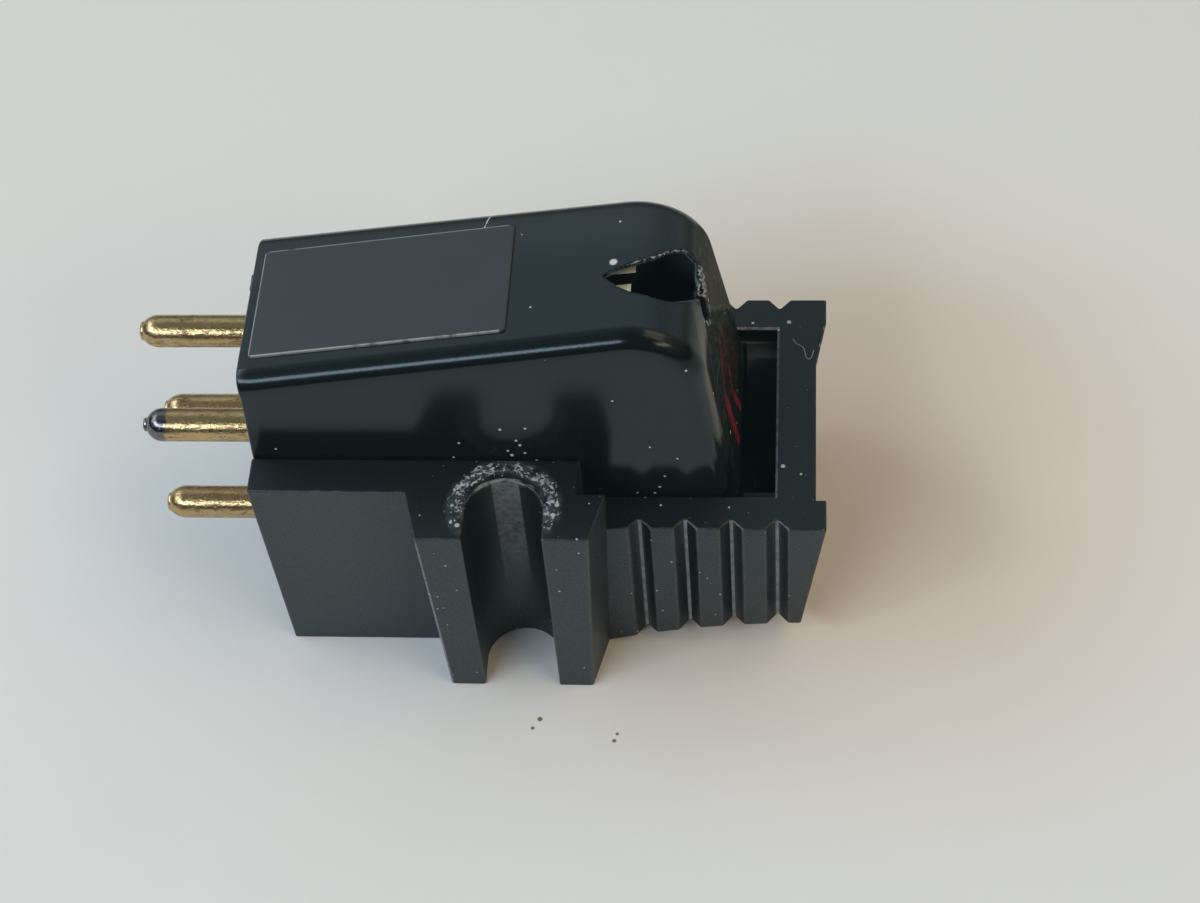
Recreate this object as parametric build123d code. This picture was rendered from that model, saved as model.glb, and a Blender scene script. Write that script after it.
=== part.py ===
# Moving-magnet phono cartridge without its stylus, lying on its mounting face.
# +X points to the stylus end, +Z up from the mounting face, and the origin is midway between the screw notches.
from build123d import *
from math import cos, radians, sin, tan
import os

os.makedirs("parts", exist_ok=True)

# Screw notches and ears
screw_spacing = 12.7
notch_width = 2.82
ear_span = 15.0
ear_length = 6.2
ear_flare = 14.0
ear_draft = 2.4

# Bracket block
bracket_width = 10.9
bracket_rear = 9.35
rear_draft = 2.0
rear_height = 9.56
rail_height = 7.43
step_x = 2.62
bracket_front = 11.45
front_undercut = 8.5
floor_thickness = 2.0
underside_start = 3.1
underside_mid_rise = 0.95
underside_end_rise = 1.33

# Finger grips on the bracket's front
groove_count = 4
groove_first = 4.68
groove_pitch = 1.66
groove_depth = 0.42
groove_side = 0.36
groove_flat = 0.09

# Front rail
rail_wall = 1.87
recess_depth = 0.38
recess_near_edge = 4.1
recess_far_edge = 2.2
recess_far_ramp = 2.1
shelf_drop = 0.81
shelf_width = 0.8

# Body
body_clearance = 0.05
body_half_width = 3.92
body_rear = 9.42
body_draft = 4.6
label_face_rear_height = 13.36
label_face_slope = 9.15
nose_start = 4.2
nose_radius = 2.65
front_face_lean = 9.4
chin_height = 6.8
chin_setback = 0.95
body_wall = 0.7
edge_round = 0.8
gate_nub = (0.16, 0.9, 0.5)
gate_nub_y = 1.5
gate_nub_drop = 0.35

# Stylus opening
opening_tip = (3.55, -0.3)
opening_left_edge = [(4.6, 0.07), (5.51, 0.67), (6.21, 1.18), (6.51, 1.24)]
opening_right_edge = [(3.93, -0.72), (4.44, -1.06), (5.35, -1.38), (6.29, -1.12)]
opening_front = 6.95
opening_left_corner = 0.95
opening_right_corner = -0.4
opening_depth = 1.8
opening_lip = 0.16
opening_relief = 0.45
slit_width = 0.6
slit_centre = -0.65

# Label
label_thickness = 0.1
label_length = 9.42
label_width = 4.96
label_rear_margin = 0.4

# Closing plates
cover_thickness = 0.8
board_thickness = 1.0
plate_clearance = 0.03

# Terminal pins
pin_diameter = 1.25
pin_spacing_y = 4.49
pin_low = 4.49
pin_high = 9.29
left_pin_length = 5.04
right_pin_length = 4.21
pin_nose = 0.52
pin_neck = 0.66
pin_button = 0.48
button_length = 0.18
shank_diameter = 0.8
shank_end_length = 0.8
pin_clearance = 0.02

# Poles, coils and yokes
coil_spacing_y = 2.5
coil_pitch_z = 2.45
coil_length = 5.0
coil_front = -1.2
flange_diameter = 2.3
flange_thickness = 0.3
bobbin_core_diameter = 1.3
winding_diameter = 2.1
pole_section = 0.7
pole_clearance = 0.02
pole_bend = 0.4
pole_tip_rear = 3.6
pole_tip_front = 4.68
pole_tip_gap = 0.5
pole_tip_width = 0.42
pole_tip_height = 0.6
pole_pair_drop = 1.9
yoke_thickness = 0.5
yoke_margin = 0.1
cradle_thickness = 0.5
cradle_clearance = 0.03

# Shield
shield_thickness = 0.25
shield_width = 5.5
shield_margin = 0.5
shield_roof_gap = 0.5
shield_coil_gap = 0.05

# Derived places
half = bracket_width / 2
tray_half = body_half_width + body_clearance
ear_half = ear_span / 2
notch_r = notch_width / 2
pocket_front = bracket_front - rail_wall
front_lean = tan(radians(front_undercut))
front_bottom = bracket_front - (rail_height - underside_end_rise) * front_lean
slope = radians(label_face_slope)
slope_normal = Vector(-sin(slope), cos(slope))
nose_top = Vector(nose_start, label_face_rear_height + (nose_start + body_rear) * tan(slope))
nose_centre = nose_top - slope_normal * nose_radius
lean = radians(front_face_lean)
front_normal = Vector(cos(lean), sin(lean))
body_front = nose_centre.X + nose_radius
body_bottom = floor_thickness
cover_top = body_bottom + cover_thickness
front_top = nose_centre + front_normal * nose_radius
chin_x = front_top.X + (front_top.Y - chin_height) * tan(lean)
pin_r = pin_diameter / 2
board_front = board_thickness - body_rear
coil_rear = coil_front - coil_length
pole_rear = coil_rear - yoke_margin
pole_bend_x = coil_front + pole_bend
shield_rear = pole_rear - yoke_thickness - shield_margin
roof_rear = label_face_rear_height - body_wall / cos(slope)
shield_top = roof_rear + (shield_rear + body_rear) * tan(slope) - shield_roof_gap
coil_high = shield_top - shield_thickness - shield_coil_gap - flange_diameter / 2
coil_low = coil_high - coil_pitch_z
reach = 40.0


def slab(x, y, z):
    """Box between the given pairs of X, Y and Z."""
    size = (x[1] - x[0], y[1] - y[0], z[1] - z[0])
    centre = ((x[0] + x[1]) / 2, (y[0] + y[1]) / 2, (z[0] + z[1]) / 2)
    return Pos(*centre) * Box(*size)


def mirrored(solid):
    """The solid and its mirror image across the middle plane."""
    return solid + mirror(solid, about=Plane.XZ)


def side_view(edges, half_width):
    """Closed outline in X and Z, extruded evenly to both sides."""
    return extrude(Plane.XZ * make_face(edges), amount=half_width, both=True)


# Bracket
def bracket_block():
    """Block with its step down to the front rail, its undercut front and its rising underside."""
    rear_foot = -bracket_rear + rear_height * tan(radians(rear_draft))
    underside_mid = ((underside_start + front_bottom) / 2, underside_mid_rise)
    outline = [
        Polyline(
            (front_bottom, underside_end_rise),
            (bracket_front, rail_height),
            (step_x, rail_height),
            (step_x, rear_height),
            (-bracket_rear, rear_height),
            (rear_foot, 0),
            (underside_start, 0),
        ),
        ThreePointArc((underside_start, 0), underside_mid, (front_bottom, underside_end_rise)),
    ]
    return side_view(outline, half)


def ear():
    """Screw ear on the +Y side, tapering outwards and downwards."""
    flare = (ear_half - half) * tan(radians(ear_flare))
    draft = rear_height * tan(radians(ear_draft))

    def outline(z, shrink):
        outer = ear_length / 2 - shrink
        inner = outer + flare
        plan = Polyline((-inner, half), (inner, half), (outer, ear_half), (-outer, ear_half), close=True)
        return Pos(0, 0, z) * make_face(plan)

    return loft([outline(0, draft), outline(rear_height, 0)])


def notch():
    """U-shaped screw notch on the +Y side."""
    screw_y = screw_spacing / 2
    bore = Pos(0, screw_y, 0) * Cylinder(notch_r, reach)
    mouth = slab((-notch_r, notch_r), (screw_y, ear_half + notch_r), (-reach / 2, reach / 2))
    return bore + mouth


def grip_grooves():
    """Upright V grooves with a narrow flat floor, on the +Y side of the front rail."""
    flat = groove_flat / 2
    mouth = flat + groove_side
    plan = Polyline((-mouth, 0), (-flat, -groove_depth), (flat, -groove_depth), (mouth, 0), close=True)
    groove = extrude(make_face(plan), amount=rail_height + groove_depth)
    return [Pos(groove_first + i * groove_pitch, half, 0) * groove for i in range(groove_count)]


def front_recess():
    """Shallow step along the front edge, square at one end and ramped at the other."""
    back = bracket_front - recess_depth
    plan = Polyline(
        (back, -recess_near_edge),
        (bracket_front + recess_depth, -recess_near_edge),
        (bracket_front + recess_depth, recess_far_edge + 2 * recess_far_ramp),
        (bracket_front, recess_far_edge + recess_far_ramp),
        (back, recess_far_edge),
        close=True,
    )
    return extrude(Pos(0, 0, rail_height) * make_face(plan), amount=2 * rail_height, dir=(-front_lean, 0, -1))


def pocket():
    """Seat for the body, open at the rear, with a shelf left at each front corner."""
    seat = slab((-reach, pocket_front), (-tray_half, tray_half), (floor_thickness, reach))
    shelf_rear = chin_x + body_clearance
    shelf = slab(
        (shelf_rear, pocket_front),
        (tray_half - shelf_width, tray_half),
        (floor_thickness, rail_height - shelf_drop),
    )
    return seat - mirrored(shelf)


def mounting_bracket():
    """Moulded bracket that is screwed to the headshell."""
    bracket = bracket_block() + mirrored(ear())
    bracket = bracket - mirrored(notch())
    for groove in grip_grooves():
        bracket = bracket - mirrored(groove)
    return bracket - front_recess() - pocket()


# Body
def body_side_edges(inset, rear, bottom):
    """Side view of the body with its top, nose and front moved inwards by inset."""
    rear_top = Vector(rear, label_face_rear_height + (rear + body_rear) * tan(slope) - inset / cos(slope))
    top_end = nose_top - slope_normal * inset
    radius = nose_radius - inset
    nose_mid_angle = (radians(90) + slope + lean) / 2
    nose_mid = nose_centre + Vector(cos(nose_mid_angle), sin(nose_mid_angle)) * radius
    nose_end = nose_centre + front_normal * radius
    chin = Vector(nose_end.X + (nose_end.Y - chin_height) * tan(lean), chin_height)
    foot = Vector(chin_x - chin_setback - inset, bottom)
    return [
        ThreePointArc(top_end, nose_mid, nose_end),
        Polyline(nose_end, chin, foot, (rear, bottom), rear_top, top_end),
    ]


def body_end_view(inset):
    """End view of the body: straight sides up to the bracket's ledges, drafted above them."""
    top = nose_top.Y + nose_radius
    low_half = body_half_width - inset
    top_half = low_half - (top - rear_height) * tan(radians(body_draft))
    right_side = [(low_half, -reach), (low_half, rear_height), (top_half, top)]
    left_side = [(-y, z) for y, z in reversed(right_side)]
    outline = Polyline(*right_side, *left_side, close=True)
    return extrude(Plane.YZ * make_face(outline), amount=reach, both=True)


def body_form(inset, rear, bottom):
    """Wedge of the body, all its walls but the rear and the bottom moved inwards by inset."""
    return side_view(body_side_edges(inset, rear, bottom), body_half_width) & body_end_view(inset)


def rounded_edges(solid):
    """Edges between the sides and the top, nose and front, down to the chin."""
    edges = []
    for edge in solid.edges():
        box = edge.bounding_box()
        level = box.size.Z < 1e-4
        across = box.size.Y > body_half_width
        at_rear = box.max.X < 1e-3 - body_rear
        below_chin = box.min.Z < chin_height - 1e-3
        if not (level or across or at_rear or below_chin):
            edges.append(edge)
    return edges


def stylus_opening():
    """Worn, lopsided drop in the roof, thinned to a lip from inside, and the slit that breaks out of the nose."""
    left_corner = (opening_front, opening_left_corner)
    right_corner = (opening_front, opening_right_corner)
    outline = [
        Spline(opening_tip, *opening_left_edge, left_corner),
        Line(left_corner, right_corner),
        Spline(right_corner, *reversed(opening_right_edge), opening_tip),
    ]
    floor = nose_top.Y - opening_depth
    drop = extrude(Pos(0, 0, floor) * make_face(outline), amount=reach)
    slit_y = (slit_centre - slit_width / 2, slit_centre + slit_width / 2)
    slit = slab((opening_front - body_wall, body_front + body_wall), slit_y, (floor, reach))
    edge_y = [y for x, y in opening_left_edge + opening_right_edge]
    window = slab(
        (opening_tip[0] - opening_relief, opening_front),
        (min(edge_y) - opening_relief, max(edge_y) + opening_relief),
        (floor, reach),
    )
    return drop + slit + (window & body_form(opening_lip, -body_rear, body_bottom))


def body_shell():
    """Hollow moulded body, open below and at the rear."""
    wedge = body_form(0, -body_rear, body_bottom)
    outer = fillet(rounded_edges(wedge), edge_round)
    cavity = body_form(body_wall, -body_rear - body_wall, body_bottom - body_wall)
    nub_top = label_face_rear_height - gate_nub_drop
    nub = slab(
        (-body_rear - gate_nub[0], -body_rear),
        (gate_nub_y - gate_nub[1] / 2, gate_nub_y + gate_nub[1] / 2),
        (nub_top - gate_nub[2], nub_top),
    )
    return outer + nub - cavity - stylus_opening()


def base_cover():
    """Plate that closes the underside, with two cradles that carry the lower coils."""
    inset = body_wall + plate_clearance
    inside = body_form(inset, -body_rear, body_bottom)
    cover = inside & slab((-reach, reach), (-reach, reach), (body_bottom, cover_top))
    seat_r = flange_diameter / 2 + cradle_clearance
    width = coil_spacing_y / 2 + flange_diameter / 2
    for x in (coil_rear, coil_front - flange_thickness):
        mid = x + flange_thickness / 2
        rib = slab((mid - cradle_thickness / 2, mid + cradle_thickness / 2), (-width, width), (cover_top, coil_low))
        for side in (-1, 1):
            rib = rib - Pos(mid, side * coil_spacing_y / 2, coil_low) * Rot(0, 90, 0) * Cylinder(seat_r, reach)
        cover = cover + rib
    return cover


def terminal_board():
    """Insulating plate that closes the rear and holds the four pins."""
    inset = body_wall + plate_clearance
    inside = body_form(inset, -body_rear, body_bottom)
    board = inside & slab((-body_rear, board_front), (-reach, reach), (cover_top, reach))
    for y, z in pin_places():
        board = board - Pos(0, y, z) * Rot(0, 90, 0) * Cylinder(shank_diameter / 2 + pin_clearance, reach)
    return board


def label():
    """Plain foil plate on the sloping face."""
    along = label_rear_margin + label_length / 2
    foot = Vector(-body_rear, label_face_rear_height) + Vector(cos(slope), sin(slope)) * along
    plate = Box(label_length, label_width, label_thickness, align=(Align.CENTER, Align.CENTER, Align.MIN))
    return Pos(foot.X, 0, foot.Y) * Rot(0, -label_face_slope, 0) * plate


# Terminals
def pin_places():
    """Y and Z of the pins: left upper, left lower, right upper, right lower."""
    return [(side * pin_spacing_y / 2, z) for side in (1, -1) for z in (pin_high, pin_low)]


def terminal_pin(length, y, z):
    """Turned pin with a round nose and a small button, its shoulder on the board, its shank through it."""
    tip = -body_rear - length
    neck = (tip + button_length, pin_neck / 2)
    nose_end = (tip + button_length + pin_nose, pin_r)
    shank_r = shank_diameter / 2
    shank_end = board_front + shank_end_length
    outline = [
        TangentArc(nose_end, neck, tangent=(-1, 0)),
        Polyline(
            nose_end,
            (-body_rear, pin_r),
            (-body_rear, shank_r),
            (shank_end, shank_r),
            (shank_end, 0),
            (tip, 0),
            (tip, pin_button / 2),
            neck,
        ),
    ]
    return Pos(0, y, z) * revolve(Plane.XZ * make_face(outline), axis=Axis.X)


# Magnetic circuit
def pole_end(x, y, z, width, height):
    """Upright rectangle at one station of a pole piece, with its top at z."""
    return Plane((x, y, z - height / 2), x_dir=(0, 1, 0), z_dir=(1, 0, 0)) * Rectangle(width, height)


def pole(side, coil_z, drop):
    """Pole piece: straight through its coil, then bent in and up to a level tip that far under the roof."""
    tip_roof = roof_rear + (pole_tip_rear + body_rear) * tan(slope)
    tip_top = tip_roof - plate_clearance - drop
    coil_y = side * coil_spacing_y / 2
    tip_y = side * (pole_tip_gap + pole_tip_width) / 2
    coil_top = coil_z + pole_section / 2
    rear = pole_end(pole_rear, coil_y, coil_top, pole_section, pole_section)
    bend = pole_end(pole_bend_x, coil_y, coil_top, pole_section, pole_section)
    heel = pole_end(pole_tip_rear, tip_y, tip_top, pole_tip_width, pole_tip_height)
    toe = pole_end(pole_tip_front, tip_y, tip_top, pole_tip_width, pole_tip_height)
    return loft([rear, bend]) + loft([bend, heel]) + loft([heel, toe])


def yoke(side):
    """Iron bar that joins the rear ends of one side's poles."""
    y = side * coil_spacing_y / 2
    z = (coil_low - pole_section / 2, coil_high + pole_section / 2)
    return slab((pole_rear - yoke_thickness, pole_rear), (y - pole_section / 2, y + pole_section / 2), z)


def on_coil_axis(solid, side, z):
    """Solid turned from +Z to +X and set at the rear end of a coil."""
    return Pos(coil_rear, side * coil_spacing_y / 2, z) * Rot(0, 90, 0) * solid


def tube(radius, z0, z1):
    """Upright cylinder between two heights."""
    return Pos(0, 0, (z0 + z1) / 2) * Cylinder(radius, z1 - z0)


def bobbin(side, z):
    """Flanged coil former with a square bore for its pole."""
    spool = tube(bobbin_core_diameter / 2, 0, coil_length)
    spool = spool + tube(flange_diameter / 2, 0, flange_thickness)
    spool = spool + tube(flange_diameter / 2, coil_length - flange_thickness, coil_length)
    bore = pole_section + 2 * pole_clearance
    return on_coil_axis(spool - Box(bore, bore, reach), side, z)


def winding(side, z):
    """Wound copper between a bobbin's flanges."""
    ends = (flange_thickness, coil_length - flange_thickness)
    coil = tube(winding_diameter / 2, *ends) - tube(bobbin_core_diameter / 2, *ends)
    return on_coil_axis(coil, side, z)


def shield():
    """Folded screen over the coils, standing on the cover."""
    half_width = shield_width / 2
    inner = half_width - shield_thickness
    outer = slab((shield_rear, pole_bend_x), (-half_width, half_width), (cover_top, shield_top))
    return outer - slab((-reach, reach), (-inner, inner), (-reach, shield_top - shield_thickness))


# Assembly
def assembly():
    """Every piece by its name."""
    pieces = {
        "mounting_bracket": mounting_bracket(),
        "body_shell": body_shell(),
        "base_cover": base_cover(),
        "terminal_board": terminal_board(),
        "label": label(),
        "shield": shield(),
    }
    lengths = {1: left_pin_length, -1: right_pin_length}
    for side, name in ((1, "left"), (-1, "right")):
        pin_y = side * pin_spacing_y / 2
        pieces[name + "_signal_pin"] = terminal_pin(lengths[side], pin_y, pin_high)
        pieces[name + "_return_pin"] = terminal_pin(lengths[side], pin_y, pin_low)
        pieces[name + "_upper_pole"] = pole(side, coil_high, 0)
        pieces[name + "_lower_pole"] = pole(side, coil_low, pole_pair_drop)
        pieces[name + "_yoke"] = yoke(side)
        for level, z in (("upper", coil_high), ("lower", coil_low)):
            pieces[name + "_" + level + "_bobbin"] = bobbin(side, z)
            pieces[name + "_" + level + "_winding"] = winding(side, z)
    return pieces


for node, solid in assembly().items():
    export_step(solid, f"parts/{node}.step")
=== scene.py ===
# Moving-magnet phono cartridge without its stylus, lying on its mounting face on pale paper.
# Shapes are in metres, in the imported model's own frame, written as millimetres times mm.
# Finishes take their places and sizes in millimetres.
from math import cos, hypot, pi, radians, sin, tan

import bmesh
import bpy
import numpy as np
from mathutils import Euler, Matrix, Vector


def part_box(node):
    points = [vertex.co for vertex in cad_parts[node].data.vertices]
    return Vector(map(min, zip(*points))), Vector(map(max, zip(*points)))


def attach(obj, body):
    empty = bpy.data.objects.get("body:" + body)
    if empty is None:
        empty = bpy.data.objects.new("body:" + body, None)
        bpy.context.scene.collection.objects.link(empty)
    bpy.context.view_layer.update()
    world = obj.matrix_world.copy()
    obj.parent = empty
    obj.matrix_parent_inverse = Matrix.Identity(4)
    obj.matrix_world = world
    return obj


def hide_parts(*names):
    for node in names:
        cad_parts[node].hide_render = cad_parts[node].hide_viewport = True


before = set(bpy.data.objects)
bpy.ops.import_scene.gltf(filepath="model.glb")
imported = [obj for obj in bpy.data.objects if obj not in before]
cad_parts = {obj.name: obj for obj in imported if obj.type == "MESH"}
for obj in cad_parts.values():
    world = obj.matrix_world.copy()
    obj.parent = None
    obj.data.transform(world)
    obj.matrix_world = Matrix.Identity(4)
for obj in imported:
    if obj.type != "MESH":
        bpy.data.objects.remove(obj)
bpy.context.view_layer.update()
mm = 0.001


# Pole pieces, yokes and screen.
# Four soft-iron strips carry the field from the missing stylus to the coils; two bars join their rear ends.
# They are cut and bent from sheet and plated, coloured pale where they face up and near-black on their sides and
# undersides, and held by the coil formers.
class Graph:
    """A node tree in the making."""

    def __init__(self, tree):
        self.tree = tree

    def feed(self, socket, value):
        """Links a socket to another one, or sets its value."""
        if isinstance(value, bpy.types.NodeSocket):
            self.tree.links.new(value, socket)
        else:
            socket.default_value = value

    def add(self, kind, inputs, **settings):
        """A node of that kind with its settings and inputs."""
        node = self.tree.nodes.new("ShaderNode" + kind)
        for key, value in settings.items():
            setattr(node, key, value)
        for socket, value in inputs.items():
            self.feed(node.inputs[socket], value)
        return node

    def maths(self, operation, a, b=0.0):
        """One sum on two values."""
        return self.add("Math", {0: a, 1: b}, operation=operation).outputs[0]

    def plus(self, a, b):
        """Two values added."""
        return self.maths("ADD", a, b)

    def minus(self, a, b):
        """The second value taken from the first."""
        return self.maths("SUBTRACT", a, b)

    def every(self, *masks):
        """Masks, or other values, multiplied together."""
        product = masks[0]
        for mask in masks[1:]:
            product = self.maths("MULTIPLY", product, mask)
        return product

    def either(self, *masks):
        """The greatest of the masks."""
        greatest = masks[0]
        for mask in masks[1:]:
            greatest = self.maths("MAXIMUM", greatest, mask)
        return greatest

    def ramp(self, value, low, high, least=0.0, most=1.0, kind="LINEAR"):
        """Goes from least where the value is low to most where it is high, and no further."""
        inputs = {"Value": value, "From Min": low, "From Max": high, "To Min": least, "To Max": most}
        return self.add("MapRange", inputs, interpolation_type=kind).outputs[0]

    def mix(self, mask, a, b):
        """Colour a where the mask is 0, colour b where it is 1."""
        return self.add("Mix", {0: mask, 6: a, 7: b}, data_type="RGBA").outputs[2]

    def blend(self, mask, a, b):
        """Value a where the mask is 0, value b where it is 1."""
        return self.add("Mix", {0: mask, 2: a, 3: b}).outputs[0]


class Finish(Graph):
    """A node material in the making; its places and sizes are in millimetres, on Object coordinates."""

    def __init__(self, name, **constants):
        self.material = bpy.data.materials.new(name)
        self.material.use_nodes = True
        super().__init__(self.material.node_tree)
        self.shader = self.tree.nodes["Principled BSDF"]
        for socket, value in constants.items():
            self.shader.inputs[socket.replace("_", " ")].default_value = value
        metres = self.add("TexCoord", {}).outputs["Object"]
        self.place = self.add("Mapping", {"Vector": metres, "Scale": (1 / mm,) * 3}).outputs[0]
        self.x, self.y, self.z = self.add("SeparateXYZ", {"Vector": self.place}).outputs

    def facing(self):
        """X, Y and Z of the way that the surface faces."""
        return self.add("SeparateXYZ", {"Vector": self.add("NewGeometry", {}).outputs["Normal"]}).outputs

    def noise(self, size, detail=3.0, stretch=(1, 1, 1), shift=(0, 0, 0), place=None):
        """Cloudy value from 0 to 1 with lumps of that size, drawn out by stretch along each axis."""
        inputs = {"Vector": place or self.place, "Location": shift, "Scale": [1 / s for s in stretch]}
        place = self.add("Mapping", inputs).outputs[0]
        return self.add("TexNoise", {"Vector": place, "Scale": 1 / size, "Detail": detail}).outputs["Fac"]

    def band(self, value, low, high):
        """Smooth step: 0 at low, 1 at high."""
        return self.ramp(value, low, high, kind="SMOOTHSTEP")

    def patches(self, size, detail, low, high, **how):
        """Noise cut into patches: 0 where it is under low, 1 where it is over high."""
        return self.band(self.noise(size, detail, **how), low, high)

    def specks(self, spacing, radius, share, shift=(0, 0, 0)):
        """Round dots of about that radius in a given share of cells of that spacing."""
        place = self.add("Mapping", {"Vector": self.place, "Location": shift}).outputs[0]
        cells = self.add("TexVoronoi", {"Vector": place, "Scale": 1 / spacing})
        dot = self.band(cells.outputs["Distance"], 1.25 * radius / spacing, 0.75 * radius / spacing)
        return self.every(dot, self.maths("LESS_THAN", cells.outputs["Color"], share))

    def within(self, value, low, high, soft):
        """1 between low and high, falling to 0 over soft on both sides."""
        return self.every(self.band(value, low - soft, low), self.band(value, high + soft, high))

    def away(self, centre):
        """Distance from a place."""
        return self.add("VectorMath", {0: self.place, 1: centre}, operation="DISTANCE").outputs["Value"]

    def across(self, a, b):
        """Length of a line from its two parts at right angles."""
        return self.maths("SQRT", self.plus(self.every(a, a), self.every(b, b)))

    def spots(self, *places):
        """Round marks, each given by its X, Y, Z and radius."""
        return self.either(*[self.band(self.away(place), radius, 0.6 * radius) for *place, radius in places])

    def stroke(self, a, b, line, width, grain):
        """Mask of a rubbed-on line in the plane of the coordinates a and b: full on the line, gone one width away,
        broken up by the grain."""
        parts = []
        for (a0, b0), (a1, b1) in zip(line[:-1], line[1:]):
            length = hypot(a1 - a0, b1 - b0)
            way_a, way_b = (a1 - a0) / length, (b1 - b0) / length
            from_a, from_b = self.minus(a, a0), self.minus(b, b0)
            along = self.plus(self.every(from_a, way_a), self.every(from_b, way_b))
            along = self.maths("MINIMUM", self.maths("MAXIMUM", along, 0.0), length)
            from_a = self.minus(from_a, self.every(along, way_a))
            from_b = self.minus(from_b, self.every(along, way_b))
            parts.append(self.band(self.across(from_a, from_b), width, 0.4 * width))
        return self.every(self.either(*parts), grain)

    def layers(self, colour, *coats):
        """Coats laid over a colour one after another, each where its mask is 1."""
        for mask, coat in coats:
            colour = self.mix(mask, colour, coat)
        return colour

    def bump(self, height, depth):
        """Tilts the surface as a relief of that depth would; several are stacked."""
        inputs = {"Height": height, "Distance": depth * mm, "Strength": 1.0}
        if self.shader.inputs["Normal"].links:
            inputs["Normal"] = self.shader.inputs["Normal"].links[0].from_socket
        self.feed(self.shader.inputs["Normal"], self.add("Bump", inputs).outputs[0])

    def wear(self, **sockets):
        """Wires the shader's varying sockets."""
        for socket, value in sockets.items():
            self.feed(self.shader.inputs[socket.replace("_", " ")], value)


def dress(finish, *names):
    """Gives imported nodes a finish."""
    for name in names:
        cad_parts[name].material_slots[0].material = finish.material


iron = Finish("plated_iron", Metallic=0.5)
iron_rolling = iron.noise(0.05, 3, stretch=(12, 1, 1))
iron_stain = iron.patches(0.7, 4, 0.5, 0.72)
# Colour by facing: pale plating where the surface faces up, near-black on the sides and undersides.
iron_facing_up = iron.band(iron.facing()[2], 0.4, 0.7)
iron_tone = iron.mix(iron_stain, (0.96, 0.98, 0.76, 1), (0.76, 0.75, 0.52, 1))
iron.wear(Base_Color=iron.mix(iron_facing_up, (0.012, 0.010, 0.011, 1), iron_tone))
iron.wear(Roughness=iron.blend(iron_stain, 0.42, 0.58))
iron.bump(iron_rolling, 0.004)
sides = ("left", "right")
coils = [side + "_" + level for side in sides for level in ("upper", "lower")]
dress(iron, "shield", *[side + "_yoke" for side in sides])


def closed_mesh(name, points, faces, values=None, sharp=35):
    """Object at the origin from points and quads, with values kept at its points: doubles merged, edges over the
    sharp angle left crisp."""
    mesh = bpy.data.meshes.new(name)
    mesh.from_pydata(points.tolist(), [], faces.tolist())
    for key, value in (values or {}).items():
        mesh.attributes.new(key, "FLOAT", "POINT").data.foreach_set("value", value)
    work = bmesh.new()
    work.from_mesh(mesh)
    bmesh.ops.remove_doubles(work, verts=work.verts, dist=0.0005 * mm)
    bmesh.ops.dissolve_degenerate(work, edges=work.edges, dist=0.0002 * mm)
    work.to_mesh(mesh)
    work.free()
    mesh.shade_smooth()
    mesh.set_sharp_from_angle(angle=radians(sharp))
    piece = bpy.data.objects.new(name, mesh)
    bpy.context.scene.collection.objects.link(piece)
    return piece


def grid_faces(rows, columns, wrap=False):
    """Quads of a rows by columns grid of points, row after row, closed round the columns if it wraps."""
    row, column = np.meshgrid(np.arange(rows - 1), np.arange(columns if wrap else columns - 1), indexing="ij")
    beside = (column + 1) % columns
    corners = [row * columns + column, (row + 1) * columns + column]
    corners += [(row + 1) * columns + beside, row * columns + beside]
    return np.stack(corners, -1).reshape(-1, 4)


def tube(name, rings, sharp=35):
    """Closed form through rings of points, one after another along its length."""
    rows, columns = rings.shape[:2]
    return closed_mesh(name, rings.reshape(-1, 3), grid_faces(rows, columns, True)[:, ::-1], sharp=sharp)


def fix(piece, finish):
    """Gives a new piece its finish and its slot and lets it ride on the one body."""
    piece.data.materials.append(finish.material)
    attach(piece, "root")


core_size = 0.7 * mm
tip_size = (0.36 * mm, 0.6 * mm)
tip_inner = 0.25 * mm
tip_rise = (0.06 * mm, 0.22 * mm)
near_tip_short = 0.14 * mm
pole_bend_x = -0.8 * mm
tip_heel_x = 3.6 * mm
bend_blur = 0.3 * mm
strip_squareness = 12


def bent_pole(name):
    """Strip along X: a rounded rectangle carried along a path that leaves the coil, bends in and up and ends in a tip
    that rises with the roof; the bends are eased by averaging the path, and both ends shrink to a point."""
    low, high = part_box(name)
    side = 1 if low.y + high.y > 0 else -1
    coil_y = max(high.y, -low.y) - core_size / 2
    tip_y = tip_inner + tip_size[0] / 2
    tip_x = high.x if side > 0 else high.x - near_tip_short
    stations = [low.x, pole_bend_x, tip_heel_x, tip_x]
    middles = [coil_y, coil_y, tip_y, tip_y]
    tops = [low.z + core_size, low.z + core_size, high.z + tip_rise[0], high.z + tip_rise[1]]
    widths = [core_size, core_size, tip_size[0], tip_size[0]]
    heights = [core_size, core_size, tip_size[1], tip_size[1]]
    x = np.linspace(low.x, tip_x, 60)
    around = x[:, None] + bend_blur * np.linspace(-1, 1, 9)
    middle, top, width, height = [np.interp(around, stations, v).mean(1) for v in (middles, tops, widths, heights)]
    turn = np.linspace(0, 2 * pi, 40, endpoint=False)
    c, s = np.cos(turn), np.sin(turn)
    radius = (np.abs(c) ** strip_squareness + np.abs(s) ** strip_squareness) ** (-1 / strip_squareness)
    ends = np.concatenate([[0, 0.9], np.ones(len(x)), [0.9, 0]])
    x, middle, top, width, height = [np.pad(v, 2, "edge") for v in (x, middle, top, width, height)]
    y = side * middle[:, None] + ends[:, None] * width[:, None] / 2 * radius * c
    z = top[:, None] - height[:, None] / 2 + ends[:, None] * height[:, None] / 2 * radius * s
    return tube(name + "_strip", np.stack([np.broadcast_to(x[:, None], y.shape), y, z], -1), 50)


for coil in coils:
    pole = bent_pole(coil + "_pole")
    fix(pole, iron)
    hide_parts(coil + "_pole")

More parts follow.
